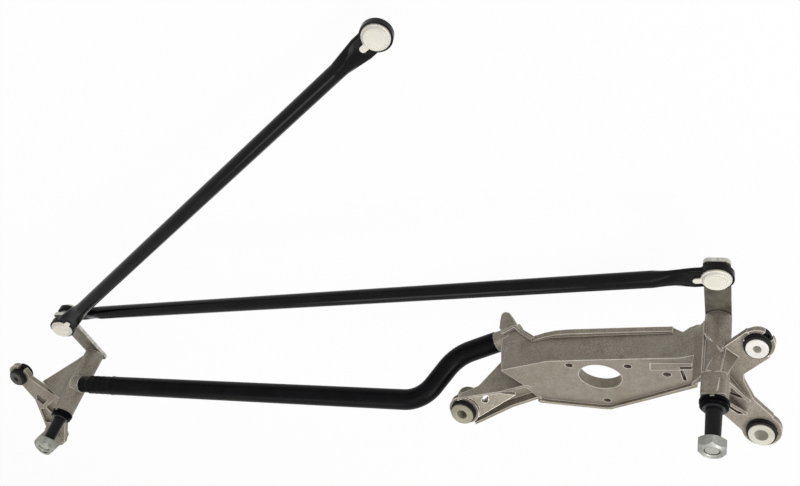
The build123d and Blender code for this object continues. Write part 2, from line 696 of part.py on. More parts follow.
# Left housing: boss, web, V-plate with two ears and the spigot for the cross tube
with BuildPart() as left_housing:
    with BuildSketch(left_base):
        Circle(BOSS_OD / 2)
    extrude(amount=BOSS_LENGTH)
    with BuildSketch(Plane.XZ.offset(-SPINDLE_Y - 3.0)):
        with BuildLine():
            Polyline(
                (-587.0, -12.0), (-600.0, -12.0), (-606.8, -5.6), (-644.2, 23.7), (-622.0, 36.0),
                (-604.3, 44.9), (-587.0, 52.0), close=True,
            )
        make_face()
    extrude(amount=6.0)
    with BuildSketch(left_feet):
        with BuildLine():
            Polyline(
                (-4.0, 4.0), (-39.4, 14.1), (-54.3, 28.5), (-66.0, 37.0), (-73.2, 23.8), (-76.5, 8.3),
                (-69.9, -9.9), (-76.6, -48.7), (-80.0, -60.0), (-68.4, -62.2), (-65.1, -75.5),
                (-54.0, -62.0), (-42.2, -45.0), (-25.2, -6.0), (-10.0, -8.0), close=True,
            )
        make_face()
        with Locations((-73.2, 23.8)):
            Circle(14.3)
        with Locations((-68.4, -62.2)):
            Circle(14.3)
    extrude(amount=-EAR_T)
    for pocket in (
        ((-30.0, 3.0), (-44.0, 8.0), (-60.0, 9.0), (-63.0, -3.0), (-38.0, -8.0)),
        ((-36.0, -14.0), (-62.0, -12.0), (-66.0, -22.0), (-46.0, -30.0)),
        ((-48.0, -36.0), (-67.0, -28.0), (-70.0, -44.0), (-56.0, -44.0)),
    ):
        with BuildSketch(left_feet):
            with BuildLine():
                Polyline(*pocket, close=True)
            make_face()
        extrude(amount=-5.0, mode=Mode.SUBTRACT)
    with BuildSketch(tube_left.offset(-BOSS_OD / 2)):
        Circle(TUBE_OD / 2 - TUBE_WALL + 0.8)
    extrude(amount=BOSS_OD / 2)
    with BuildSketch(tube_left):
        Circle(spigot_r)
    extrude(amount=SPIGOT_DEPTH)
    with BuildSketch(left_base):
        Circle(BUSH_OD / 2)
    extrude(amount=BOSS_LENGTH, mode=Mode.SUBTRACT)
    for name, plane, spot, ring_d, washer_d, hole_d, rubber_d, open_at in feet[3:]:
        with BuildSketch(plane.offset(2 * EAR_T)):
            with Locations(spot):
                Circle(rubber_d / 2 - GROMMET_CORE_INSET)
        extrude(amount=-5 * EAR_T, mode=Mode.SUBTRACT)
        with BuildSketch(plane):
            with Locations(spot):
                Circle(rubber_d / 2 + GROMMET_ROOM)
        extrude(amount=2 * EAR_T, mode=Mode.SUBTRACT)
        with BuildSketch(plane.offset(-EAR_T)):
            with Locations(spot):
                Circle(rubber_d / 2 + GROMMET_ROOM)
        extrude(amount=-3 * EAR_T, mode=Mode.SUBTRACT)
        if open_at is not None:
            with BuildSketch(plane):
                with Locations(Location((spot[0], spot[1], 0), open_at)):
                    with Locations((ring_d / 2, 0)):
                        Rectangle(ring_d, OPEN_RING_GAP)
            extrude(amount=-EAR_T, mode=Mode.SUBTRACT)
save(left_housing, "left_housing")

# Rubber grommets with their flanged sleeves
for name, plane, spot, ring_d, washer_d, hole_d, rubber_d, open_at in feet:
    sleeve_r = hole_d / 2 + SLEEVE_WALL
    stack_low = -EAR_T - GROMMET_REAR_T
    with BuildPart() as grommet:
        for low, height, radius in (
            (0.0, GROMMET_FLANGE_T, rubber_d / 2),
            (-EAR_T, EAR_T, rubber_d / 2 - GROMMET_CORE_INSET),
            (stack_low, GROMMET_REAR_T, rubber_d / 2),
        ):
            with BuildSketch(plane.offset(low)):
                with Locations(spot):
                    Circle(radius)
                    Circle(sleeve_r, mode=Mode.SUBTRACT)
            extrude(amount=height)
    save(grommet, f"grommet_{name}")

    with BuildPart() as sleeve:
        with BuildSketch(plane.offset(stack_low)):
            with Locations(spot):
                Circle(sleeve_r)
                Circle(hole_d / 2, mode=Mode.SUBTRACT)
        extrude(amount=GROMMET_FLANGE_T - stack_low)
        with BuildSketch(plane.offset(GROMMET_FLANGE_T)):
            with Locations(spot):
                Circle(washer_d / 2)
                Circle(hole_d / 2, mode=Mode.SUBTRACT)
        extrude(amount=SLEEVE_FLANGE_T)
    save(sleeve, f"sleeve_{name}")
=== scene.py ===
import json
import math

import bmesh
import bpy
from mathutils import Matrix, Vector

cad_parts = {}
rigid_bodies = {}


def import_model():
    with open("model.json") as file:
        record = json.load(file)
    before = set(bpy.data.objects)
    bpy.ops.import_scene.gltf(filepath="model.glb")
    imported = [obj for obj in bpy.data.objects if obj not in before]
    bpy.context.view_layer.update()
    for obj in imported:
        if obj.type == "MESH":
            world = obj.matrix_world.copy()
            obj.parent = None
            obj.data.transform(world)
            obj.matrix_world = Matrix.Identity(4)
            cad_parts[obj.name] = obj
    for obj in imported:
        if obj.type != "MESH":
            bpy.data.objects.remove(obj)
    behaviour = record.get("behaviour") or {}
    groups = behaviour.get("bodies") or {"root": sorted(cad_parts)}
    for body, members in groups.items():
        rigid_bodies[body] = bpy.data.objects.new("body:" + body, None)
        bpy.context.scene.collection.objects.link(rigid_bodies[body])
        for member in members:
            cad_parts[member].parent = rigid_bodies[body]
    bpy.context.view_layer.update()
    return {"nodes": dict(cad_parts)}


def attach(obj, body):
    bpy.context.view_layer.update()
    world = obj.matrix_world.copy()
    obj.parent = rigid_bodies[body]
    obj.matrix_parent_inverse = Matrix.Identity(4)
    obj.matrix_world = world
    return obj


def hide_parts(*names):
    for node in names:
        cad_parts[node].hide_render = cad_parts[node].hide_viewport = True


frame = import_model()
NODES = frame["nodes"]
scene = bpy.context.scene
scene.view_settings.view_transform = "Standard"

# Driving places and sizes, in millimetres, as the CAD has them
MM = 0.001
SPINDLE_Y = 33.1
RIGHT_X = 102.4
LEFT_X = RIGHT_X - 689.5
BOSS_LOW = {"left": -14.7, "right": -34.0}
BOSS_LENGTH = 79.5
BOSS_OD = 21.0
BUSH_OD = 15.5
CRANK_LENGTH = 63.0
CRANK_ANGLE = math.radians(81.75)
CRANK_FACE = -0.8
CRANK_T = 4.0
BALL_HEIGHT = 6.0
BALL_ROOM = 6.15
COLLAR_HEIGHT = 5.0
CLIP_GAP = 0.05
CLIP_T = 1.2
SHAFT_ABOVE_CLIP = 4.0
CONE_LENGTH = 22.0
CONE_HIGH = BOSS_LENGTH + COLLAR_HEIGHT + CLIP_GAP + CLIP_T + SHAFT_ABOVE_CLIP + CONE_LENGTH
NUT_HEIGHT = 9.8
THREAD_D = 11.6
MOUNT_TILT = math.radians(22.0)
TUBE_START = (-575.5, 36.7, 28.2)
TUBE_BEND_1 = (-176.0, -15.0, 15.4)
TUBE_BEND_2 = (-143.9, -3.0, -26.7)
TUBE_END = (-103.1, 2.0, -38.3)
MOTOR_LINK_LENGTH = 541.0
MOTOR_LINK_ANGLE = math.radians(25.4)
MOTOR_LINK_DROOP = math.radians(8.74)


def srgb(r, g, b):
    """A display colour, 0 to 255, as linear light."""
    linear = []
    for level in (r, g, b):
        level /= 255.0
        linear.append(level / 12.92 if level <= 0.04045 else ((level + 0.055) / 1.055) ** 2.4)
    return (*linear, 1.0)


def grey(value):
    """A linear grey, used as a factor."""
    return (value, value, value, 1.0)


BLACK = grey(0.0)
WHITE = grey(1.0)


class Maker:
    """A short way to write a node material."""

    def __init__(self, name):
        self.mat = bpy.data.materials.new(name)
        self.mat.use_nodes = True
        self.tree = self.mat.node_tree
        self.bsdf = self.tree.nodes["Principled BSDF"]
        self.coord = self.tree.nodes.new("ShaderNodeTexCoord").outputs["Object"]

    def node(self, kind, **values):
        n = self.tree.nodes.new(kind)
        for key, value in values.items():
            setattr(n, key, value)
        return n

    def link(self, a, b):
        self.tree.links.new(a, b)

    def noise(self, scale, detail=4.0, rough=0.55, distort=0.0, coord=None):
        n = self.node("ShaderNodeTexNoise")
        n.inputs["Scale"].default_value = scale
        n.inputs["Detail"].default_value = detail
        n.inputs["Roughness"].default_value = rough
        n.inputs["Distortion"].default_value = distort
        self.link(coord or self.coord, n.inputs["Vector"])
        return n.outputs["Fac"]

    def stretched(self, scale):
        """Object coordinates scaled by another amount along each axis, for drawn grain."""
        m = self.node("ShaderNodeMapping")
        m.inputs["Scale"].default_value = scale
        self.link(self.coord, m.inputs["Vector"])
        return m.outputs["Vector"]

    def ramp(self, fac, stops):
        n = self.node("ShaderNodeValToRGB")
        while len(n.color_ramp.elements) < len(stops):
            n.color_ramp.elements.new(0.5)
        for element, (place, colour) in zip(n.color_ramp.elements, stops):
            element.position = place
            element.color = colour
        self.link(fac, n.inputs["Fac"])
        return n.outputs["Color"]

    def mix(self, fac, a, b, blend="MIX"):
        n = self.node("ShaderNodeMix", data_type="RGBA", blend_type=blend)
        for socket, value in ((n.inputs["Factor"], fac), (n.inputs["A"], a), (n.inputs["B"], b)):
            if isinstance(value, (int, float, tuple)):
                socket.default_value = value
            else:
                self.link(value, socket)
        return n.outputs["Result"]

    def span(self, fac, low, high):
        """A value between low and high, for roughness."""
        n = self.node("ShaderNodeMapRange")
        n.inputs["From Min"].default_value = 0.3
        n.inputs["From Max"].default_value = 0.7
        n.inputs["To Min"].default_value = low
        n.inputs["To Max"].default_value = high
        self.link(fac, n.inputs["Value"])
        return n.outputs["Result"]

    def bump(self, height, strength, distance):
        n = self.node("ShaderNodeBump")
        n.inputs["Strength"].default_value = strength
        n.inputs["Distance"].default_value = distance
        self.link(height, n.inputs["Height"])
        self.link(n.outputs["Normal"], self.bsdf.inputs["Normal"])
        return n

    def put(self, name, value):
        socket = self.bsdf.inputs[name]
        if isinstance(value, (int, float, tuple)):
            socket.default_value = value
        else:
            self.link(value, socket)


# Reach of the rubbed edges with their painted highlight, and of the painted shade in corners, in metres
RUBBED_HIGHLIGHT_WIDTH = 0.0011
PAINTED_SHADE_REACH = 0.006
BAR_PAINTED_SHADE_REACH = 0.003


def edge_mask(m, radius):
    """One on sharp edges and zero on flats, from the normal that a small bevel would have."""
    bevel = m.node("ShaderNodeBevel", samples=6)
    bevel.inputs["Radius"].default_value = radius
    geometry = m.node("ShaderNodeNewGeometry")
    dot = m.node("ShaderNodeVectorMath", operation="DOT_PRODUCT")
    m.link(bevel.outputs["Normal"], dot.inputs[0])
    m.link(geometry.outputs["Normal"], dot.inputs[1])
    return m.ramp(dot.outputs["Value"], ((0.94, WHITE), (0.996, BLACK)))


def painted_corner_shade(m, distance, low):
    """Painted shade: darker in corners and pockets, from ambient occlusion."""
    shut = m.node("ShaderNodeAmbientOcclusion", samples=6)
    shut.inputs["Distance"].default_value = distance
    return m.ramp(shut.outputs["AO"], ((0.25, grey(low)), (0.85, WHITE)))


def cast_metal(name, base, light, dark, stain, edge):
    """Die-cast alloy: even fine grain, faint brown stains, rubbed edges lightened with a painted
    highlight, and painted shade in the corners.
    """
    m = Maker(name)
    grain = m.noise(850.0, 3.0, 0.7)
    blotch = m.noise(95.0, 5.0, 0.7, 0.2)
    broad = m.noise(17.0, 4.0, 0.6, 0.4)
    colour = m.ramp(blotch, ((0.34, dark), (0.50, base), (0.68, light)))
    stain_share = m.ramp(broad, ((0.54, BLACK), (0.72, grey(0.42))))
    colour = m.mix(stain_share, colour, stain)
    speck = m.ramp(grain, ((0.32, (0.52, 0.51, 0.49, 1.0)), (0.50, WHITE), (0.68, grey(1.25))))
    colour = m.mix(0.8, colour, speck, "MULTIPLY")
    # painted shade darkens the corners and pockets
    colour = m.mix(0.85, colour, painted_corner_shade(m, PAINTED_SHADE_REACH, 0.30), "MULTIPLY")
    # rubbed edges, also lightened near to white as a painted highlight
    uneven = m.ramp(broad, ((0.3, WHITE), (0.7, grey(0.5))))
    rubbed_and_highlit = m.mix(1.0, edge_mask(m, RUBBED_HIGHLIGHT_WIDTH), uneven, "MULTIPLY")
    m.put("Base Color", m.mix(rubbed_and_highlit, colour, edge))
    m.put("Metallic", 0.45)
    m.put("Roughness", m.span(blotch, 0.56, 0.46))
    m.put("Specular IOR Level", 0.35)
    m.bump(m.mix(0.5, grain, blotch), 0.16, 0.0003)
    return m.mat


def worn_edge(name, colour):
    """Burnished metal, for edges that were cut or rubbed bright."""
    m = Maker(name)
    wear = m.noise(260.0, 3.0, 0.6)
    dull = tuple(v * 0.62 for v in colour[:3]) + (1.0,)
    m.put("Base Color", m.ramp(wear, ((0.36, dull), (0.6, colour))))
    m.put("Metallic", 0.6)
    m.put("Roughness", m.span(wear, 0.45, 0.3))
    return m.mat


def plated_steel(name, base, dark, light, roughness=0.38):
    """Zinc-plated steel: drawn lines, cloudy olive patches and painted shade in the corners."""
    m = Maker(name)
    grain = m.noise(55.0, 4.0, 0.6, 0.0, m.stretched((14.0, 1.2, 10.0)))
    cloud = m.noise(70.0, 4.0, 0.6, 0.5)
    colour = m.ramp(cloud, ((0.30, dark), (0.52, base), (0.75, light)))
    drawn = m.ramp(grain, ((0.3, grey(0.6)), (0.7, grey(1.15))))
    colour = m.mix(0.4, colour, drawn, "MULTIPLY")
    # painted shade darkens the corners
    m.put("Base Color", m.mix(0.9, colour, painted_corner_shade(m, BAR_PAINTED_SHADE_REACH, 0.2), "MULTIPLY"))
    m.put("Metallic", 0.55)
    m.put("Roughness", m.span(grain, roughness + 0.1, roughness))
    m.bump(grain, 0.12, 0.0002)
    return m.mat


def lacquer(name, base, roughness, bump_strength, gloss, sheen):
    """Black paint: almost flat, with a slight orange peel, dust and a grey bloom at a low angle."""
    m = Maker(name)
    peel = m.noise(300.0, 3.0, 0.5)
    dust = m.noise(38.0, 5.0, 0.6, 0.3)
    light = tuple(v * 1.8 + 0.002 for v in base[:3]) + (1.0,)
    m.put("Base Color", m.ramp(dust, ((0.42, base), (0.8, light))))
    m.put("Roughness", m.span(dust, roughness - 0.05, roughness + 0.08))
    m.put("Specular IOR Level", gloss)
    m.put("Sheen Weight", sheen)
    m.put("Sheen Roughness", 0.25)
    m.bump(peel, bump_strength, 0.0002)
    return m.mat


def moulded(name, base, shade, roughness, subsurface=0.0, gloss=0.5):
    """Smooth plastic, or a washer's dull plating: soft colour change and a very fine grain."""
    m = Maker(name)
    cloud = m.noise(60.0, 3.0, 0.5, 0.3)
    m.put("Base Color", m.ramp(cloud, ((0.32, shade), (0.62, base))))
    m.put("Roughness", m.span(cloud, roughness, roughness + 0.12))
    m.put("Subsurface Weight", subsurface)
    m.put("Specular IOR Level", gloss)
    if subsurface:
        m.bsdf.inputs["Subsurface Scale"].default_value = 0.002
    m.bump(m.noise(700.0, 2.0, 0.5), 0.06, 0.0001)
    return m.mat


def rubber(name, base, light):
    """Moulded rubber, dull, with a little bloom."""
    m = Maker(name)
    bloom = m.noise(110.0, 5.0, 0.65)
    m.put("Base Color", m.ramp(bloom, ((0.38, base), (0.78, light))))
    m.put("Roughness", m.span(bloom, 0.5, 0.7))
    m.put("Specular IOR Level", 0.15)
    m.bump(m.noise(900.0, 3.0, 0.6), 0.15, 0.0002)
    return m.mat


def spindle_finish(name, steel_from):
    """Black spindle whose thread, above a height in metres, is bare steel."""
    m = Maker(name)
    apart = m.node("ShaderNodeSeparateXYZ")
    m.link(m.coord, apart.inputs["Vector"])
    above = m.node("ShaderNodeMath", operation="GREATER_THAN")
    above.inputs[1].default_value = steel_from
    m.link(apart.outputs["Z"], above.inputs[0])
    rings = m.node("ShaderNodeTexWave", wave_type="BANDS", bands_direction="Z")
    rings.inputs["Scale"].default_value = 210.0
    dust = m.noise(60.0, 4.0, 0.6)
    black = m.ramp(dust, ((0.40, srgb(12, 12, 15)), (0.80, srgb(30, 30, 33))))
    steel = m.ramp(rings.outputs["Fac"], ((0.2, srgb(96, 95, 88)), (0.8, srgb(168, 168, 158))))
    m.put("Base Color", m.mix(above.outputs[0], black, steel))
    m.put("Metallic", m.mix(above.outputs[0], BLACK, grey(0.4)))
    m.put("Roughness", m.span(dust, 0.26, 0.36))
    m.put("Specular IOR Level", 0.14)
    m.bump(rings.outputs["Fac"], 0.05, 0.0002)
    return m.mat


# the last colour is for the rubbed edges, near white as a painted highlight
CAST = cast_metal("cast_alloy", srgb(144, 137, 124), srgb(151, 145, 132), srgb(134, 126, 113),
                  srgb(128, 112, 92), srgb(250, 244, 232))
CRANK = plated_steel("crank_plating", srgb(124, 119, 106), srgb(92, 87, 76), srgb(152, 147, 134))
CRANK_EDGE = worn_edge("crank_cut_edge", srgb(206, 204, 196))
TUBE = lacquer("tube_paint", srgb(7, 7, 9), 0.34, 0.10, gloss=0.06, sheen=0.12)
ROD = lacquer("rod_paint", srgb(5, 5, 7), 0.15, 0.03, gloss=0.12, sheen=0.2)
IVORY = moulded("ivory_plastic", srgb(232, 228, 216), srgb(221, 216, 202), 0.28, subsurface=0.05)
BLACK_PLASTIC = moulded("collar_plastic", srgb(7, 7, 9), srgb(5, 5, 7), 0.18, gloss=0.03)
STEEL_MARGIN = 0.2
SHAFTS = {
    side: spindle_finish(f"spindle_{side}_finish", (BOSS_LOW[side] + CONE_HIGH - STEEL_MARGIN) * MM)
    for side in BOSS_LOW
}
NUT = plated_steel("nut_zinc", srgb(156, 158, 151), srgb(128, 130, 123), srgb(178, 179, 172), 0.42)
BRIGHT = worn_edge("bright_steel", srgb(205, 205, 205))
CLIP = worn_edge("clip_steel", srgb(58, 58, 60))
RUBBER = rubber("grommet_rubber", srgb(20, 18, 19), srgb(44, 42, 42))
SEAL = rubber("seal_rubber", srgb(22, 22, 22), srgb(36, 36, 36))
BRONZE = worn_edge("bush_bronze", srgb(150, 118, 70))
WASHER_WHITE = moulded("washer_white", srgb(236, 233, 228), srgb(218, 214, 206), 0.4)
WASHER_CREAM = moulded("washer_cream", srgb(206, 203, 189), srgb(190, 187, 172), 0.4)
WASHER_SILVER = moulded("washer_silver", srgb(170, 166, 146), srgb(144, 140, 120), 0.45, gloss=0.2)
WASHER_DARK = moulded("washer_dark", srgb(80, 79, 76), srgb(62, 61, 59), 0.45, gloss=0.2)

# The CAD nodes whose shape is right keep it and take a finish
KEPT = {
    "long_link_rod": ROD, "motor_link_rod": ROD, "ball_stud_right": BRIGHT, "ball_pin_left": BRIGHT,
    "sleeve_right_upper": WASHER_WHITE, "sleeve_right_lower": WASHER_CREAM,
    "sleeve_arm": WASHER_SILVER, "sleeve_left_upper": WASHER_DARK, "sleeve_left_lower": WASHER_SILVER,
}
for side in BOSS_LOW:
    KEPT[f"spindle_{side}"] = SHAFTS[side]
    KEPT[f"circlip_{side}"] = CLIP
    KEPT[f"o_ring_{side}"] = SEAL
    KEPT[f"thrust_washer_{side}"] = BRIGHT
    KEPT[f"bush_{side}_rear"] = BRONZE
    KEPT[f"bush_{side}_front"] = BRONZE
for name, material in KEPT.items():
    node = NODES[name]
    node.data.materials.clear()
    node.data.materials.append(material)

# Rounding of edges, in metres and degrees
EDGE_ROUND = 0.0004
SHARP_ANGLE = 32.0
WELD_DISTANCE = 0.00002


def soften(node, width=EDGE_ROUND):
    """Rounds an object's sharp edges, and keeps its flat faces flat in the light."""
    weld = node.modifiers.new("weld", "WELD")
    weld.merge_threshold = WELD_DISTANCE
    bevel = node.modifiers.new("edges", "BEVEL")
    bevel.width = width
    bevel.segments = 2
    bevel.limit_method = "ANGLE"
    bevel.angle_limit = math.radians(SHARP_ANGLE)
    bevel.use_clamp_overlap = True
    node.modifiers.new("flats", "WEIGHTED_NORMAL").keep_sharp = True


for name in KEPT:
    if name.startswith("sleeve"):
        soften(NODES[name])

# Drawing planes and outlines


def plane(origin, z_dir, x_dir=None):
    """A drawing plane as a matrix: its columns are x, y, the normal and the origin."""
    z = Vector(z_dir).normalized()
    x = Vector(x_dir) if x_dir else z.orthogonal()
    x = (x - z * x.dot(z)).normalized()
    y = z.cross(x)
    return Matrix((
        (x.x, y.x, z.x, origin[0]),
        (x.y, y.y, z.y, origin[1]),
        (x.z, y.z, z.z, origin[2]),
        (0.0, 0.0, 0.0, 1.0),
    ))


def lifted(base, height):
    """The same plane, moved along its normal."""
    return base @ Matrix.Translation((0.0, 0.0, height))


def plane_through(first, second, third):
    """A plane through three points, with its normal towards +Z."""
    normal = (Vector(second) - Vector(first)).cross(Vector(third) - Vector(first))
    if normal.z < 0:
        normal.negate()
    return plane(first, normal)


def circle(spot, diameter, count=72):
    """A round outline."""
    turns = [2 * math.pi * k / count for k in range(count)]
    return [(spot[0] + diameter / 2 * math.cos(a), spot[1] + diameter / 2 * math.sin(a)) for a in turns]


def rounded(spot, length, width, corner, turn=0.0, count=8):
    """A rectangle with round corners, turned about its middle."""
    points = []
    turn = math.radians(turn)
    for quarter in range(4):
        sx = 1 if quarter in (0, 3) else -1
        sy = 1 if quarter in (0, 1) else -1
        for k in range(count + 1):
            a = math.pi / 2 * (quarter + k / count)
            x = sx * (length / 2 - corner) + corner * math.cos(a)
            y = sy * (width / 2 - corner) + corner * math.sin(a)
            points.append((
                spot[0] + x * math.cos(turn) - y * math.sin(turn),
                spot[1] + x * math.sin(turn) + y * math.cos(turn),
            ))
    return points


def slot_outline(spot, length, width, turn=0.0):
    """A rectangle whose ends are half circles."""
    return rounded(spot, length, width, width / 2 - 0.001, turn)


def band(line, width):
    """The outline of a strip along a line, with square ends and mitred corners."""
    line = [Vector(p) for p in line]
    sides = []
    for a, b in zip(line, line[1:]):
        along = (b - a).normalized()
        sides.append(Vector((-along.y, along.x)))
    offsets = [sides[0]]
    for a, b in zip(sides, sides[1:]):
        offsets.append((a + b) / (1 + a.dot(b)))
    offsets.append(sides[-1])
    left = [p + o * width / 2 for p, o in zip(line, offsets)]
    right = [p - o * width / 2 for p, o in zip(line, offsets)]
    return [tuple(p) for p in left + right[::-1]]


# Closed shapes in millimetres, and pieces made of them
def closed_mesh(bm):
    """The mesh of a closed shape, with its faces turned outwards."""
    bmesh.ops.recalc_face_normals(bm, faces=bm.faces)
    mesh = bpy.data.meshes.new("shape")
    bm.to_mesh(mesh)
    bm.free()
    return mesh


def between(low_ring, high_ring):
    """A closed shape between two rings of as many points."""
    bm = bmesh.new()
    low = [bm.verts.new(p) for p in low_ring]
    high = [bm.verts.new(p) for p in high_ring]
    bm.faces.new(low)
    bm.faces.new(high)
    for k in range(len(low)):
        bm.faces.new((low[k - 1], low[k], high[k], high[k - 1]))
    return closed_mesh(bm)


def prism(base, outline, low, high):
    """An outline drawn out along the normal of a plane."""
    rings = [[base @ Vector((x, y, z)) for x, y in outline] for z in (low, high)]
    return between(*rings)


def slab(outline, front, thickness):
    """A sheet of a given thickness behind a sloping plane, with upright edges."""
    rings = []
    for face in (lifted(front, -thickness), front):
        normal, origin = face.col[2].to_3d(), face.col[3].to_3d()
        rings.append([
            (x, y, origin.z - (normal.x * (x - origin.x) + normal.y * (y - origin.y)) / normal.z)
            for x, y in outline
        ])
    return between(*rings)


def lathe(base, profile, count=96):
    """A turned shape: radius and height pairs, from axis to axis or round a closed section."""
    bm = bmesh.new()
    rings = []
    for radius, height in profile:
        if radius == 0:
            rings.append([bm.verts.new(base @ Vector((0, 0, height)))] * count)
        else:
            turns = [2 * math.pi * k / count for k in range(count)]
            rings.append([
                bm.verts.new(base @ Vector((radius * math.cos(a), radius * math.sin(a), height)))
                for a in turns
            ])
    pairs = list(zip(rings, rings[1:]))
    if profile[0][0] > 0:
        pairs.append((rings[-1], rings[0]))
    for a, b in pairs:
        for k in range(count):
            corners = []
            for vert in (a[k - 1], a[k], b[k], b[k - 1]):
                if vert not in corners:
                    corners.append(vert)
            bm.faces.new(corners)
    return closed_mesh(bm)


def carve(steps):
    """One closed mesh from steps, each of which adds, cuts or keeps the common part of shapes."""
    first, *others = steps[0][1]
    body = bpy.data.objects.new("body", first)
    scene.collection.objects.link(body)
    groups = []
    for operation, shapes in [("UNION", others), *steps[1:]]:
        if not shapes:
            continue
        group = bpy.data.collections.new("shapes")
        scene.collection.children.link(group)
        groups.append(group)
        for shape in shapes:
            group.objects.link(bpy.data.objects.new("shape", shape))
        boolean = body.modifiers.new("step", "BOOLEAN")
        boolean.operation = operation
        boolean.solver = "EXACT"
        boolean.operand_type = "COLLECTION"
        boolean.collection = group
    depsgraph = bpy.context.evaluated_depsgraph_get()
    mesh = bpy.data.meshes.new_from_object(body.evaluated_get(depsgraph))
    bpy.data.objects.remove(body)
    for group in groups:
        for ob in list(group.objects):
            bpy.data.objects.remove(ob)
        bpy.data.collections.remove(group)
    return mesh


def piece(name, mesh, material, body, stands_for, smooth_angle=30.0):
    """Puts a mesh made in millimetres into the scene, on its body and in its CAD node's place."""
    mesh.transform(Matrix.Scale(MM, 4))
    mesh.materials.clear()
    mesh.materials.append(material)
    for face in mesh.polygons:
        face.material_index = 0
        face.use_smooth = True
    mesh.set_sharp_from_angle(angle=math.radians(smooth_angle))
    ob = bpy.data.objects.new(name, mesh)
    scene.collection.objects.link(ob)
    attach(ob, body)
    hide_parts(stands_for)
    return ob


# Where the pieces stand
TOP = plane((0, 0, 0), (0, 0, 1), (1, 0, 0))
EDGE_ON = plane((0, 0, 0), (0, -1, 0), (1, 0, 0))
BASES = {
    side: plane((x, SPINDLE_Y, BOSS_LOW[side]), (0, 0, 1), (1, 0, 0))
    for side, x in (("left", LEFT_X), ("right", RIGHT_X))
}
FOOT_NORMAL = (0, math.sin(MOUNT_TILT), math.cos(MOUNT_TILT))
RIGHT_FEET = plane((RIGHT_X, SPINDLE_Y, 4.96), FOOT_NORMAL, (1, 0, 0))
LEFT_FEET = plane((LEFT_X, SPINDLE_Y, 37.3), FOOT_NORMAL, (1, 0, 0))
TUBE_LEFT = plane(TUBE_START, Vector(TUBE_BEND_1) - Vector(TUBE_START))
TUBE_RIGHT = plane(TUBE_END, Vector(TUBE_END) - Vector(TUBE_BEND_2))

# Feet: name, plane, place in the plane, ring diameter, sleeve hole, rubber, angle of an open ring
FEET = (
    ("right_upper", RIGHT_FEET, (31.8, 12.0), 26.0, 6.2, 20.4, 40.0),
    ("right_lower", RIGHT_FEET, (25.2, -70.0), 30.6, 10.4, 23.6, None),
    ("arm", RIGHT_FEET, (-232.3, -53.3), 29.0, 9.4, 24.0, None),
    ("left_upper", LEFT_FEET, (-73.2, 23.8), 28.6, 6.2, 20.4, 50.0),
    ("left_lower", LEFT_FEET, (-68.4, -62.2), 28.6, 10.4, 23.6, None),
)
EAR_T = 5.5
OPEN_RING_GAP = 8.0
CORE_INSET = 2.5
FLANGE_ROOM = 0.8
REAR_LOW = -11.4
THROUGH = 20.0


def ear_rings(feet):
    """The round ends of the feet."""
    return [prism(base, circle(spot, ring), -EAR_T, 0) for _, base, spot, ring, *_ in feet]


def ear_cuts(feet):
    """Room for the grommets in the ears, and the gap of an open ring."""
    cuts = []
    for _, base, spot, ring, _, rubber_d, open_at in feet:
        cuts.append(prism(base, circle(spot, rubber_d - 2 * CORE_INSET), -THROUGH, THROUGH))
        cuts.append(prism(base, circle(spot, rubber_d + FLANGE_ROOM), 0, THROUGH))
        cuts.append(prism(base, circle(spot, rubber_d + FLANGE_ROOM), -THROUGH, -EAR_T))
        if open_at is not None:
            turn = math.radians(open_at)
            middle = (spot[0] + ring / 2 * math.cos(turn), spot[1] + ring / 2 * math.sin(turn))
            gap = rounded(middle, ring, OPEN_RING_GAP, 0.5, open_at)
            cuts.append(prism(base, gap, -EAR_T - 1, 1))
    return cuts


# Motor bracket: plate, wall, flange, horn, foot, boss and tilted V-plate
PLATE_T = 5.5
WALL_T = 3.5
WALL_TOP = -30.0
FLANGE_T = 5.0
LIP_H = 3.2
RIB_T = 2.2
POCKET_DEPTH = 3.4
GROOVE_DEPTH = 4.5
PANEL_SLOT_TURN = 20.0
SIGHT_LINE = (0.4663, 0.6536, 0.5961)
SPIGOT_D = 16.4
SPIGOT_DEPTH = 18.0
SHOULDER_D = 18.6
SHOULDER_LENGTH = 26.0
MOTOR_HOLE_D = 37.2
MOTOR_RING_D = 46.0
MOTOR_RING_H = 5.0
MOTOR_BOLTS = ((-22.5, 18.6), (27.6, 15.8), (-3.4, -38.3))
MOTOR_BOLT_D = 6.6
MOTOR_BOLT_BOSS_D = 14.0
SIDE_HOLE = (57.6, 2.9)
SIDE_HOLE_D = 7.0
BLIND_SLOTS = (((75.3, 14.2), 11.0, 0.0), ((70.7, 1.2), 16.0, 90.0))
BLIND_SLOT_W = 3.0
PLATE_OUTLINE = (
    (-87.0, 12.5), (-40.3, 25.5), (7.0, 26.6), (73.0, 27.2), (84.0, 30.0), (96.0, 40.0),
    (100.0, 24.0), (86.0, 12.0), (83.0, 5.6), (78.8, -9.4), (36.4, -29.4), (-2.6, -48.6),
    (-8.0, -48.2), (-56.9, -38.8), (-65.4, -36.8), (-67.0, -34.0), (-74.6, -13.0), (-87.9, 11.0),
)
WALL_LINE = ((-87.0, 12.5), (-40.3, 25.5), (7.0, 26.6), (73.0, 27.2), (84.0, 30.5), (95.0, 38.0))
WALL_TOP_CUT = (
    (67.0, -31.0), (67.0, -29.5), (74.0, -25.6), (79.5, -29.0), (85.0, -29.6), (91.0, -26.5),
    (91.0, -31.0),
)
FLANGE_OUTLINE = (
    (-58.9, 21.6), (-46.6, 26.5), (-35.5, 29.3), (-22.4, 30.3), (38.6, 30.0), (65.8, 29.6),
    (65.8, 24.0), (7.0, 23.4), (-40.3, 22.3), (-58.9, 17.2),
)
LIP_OUTLINE = (
    (-67.5, -35.5), (-66.0, -38.0), (-56.9, -39.8), (-8.0, -48.7), (-2.6, -49.0), (36.4, -32.0),
    (79.6, -12.2), (82.5, -2.0), (78.4, -8.4), (36.4, -28.6), (-2.6, -46.0), (-8.0, -46.0),
    (-56.9, -37.1), (-64.2, -34.2),
)
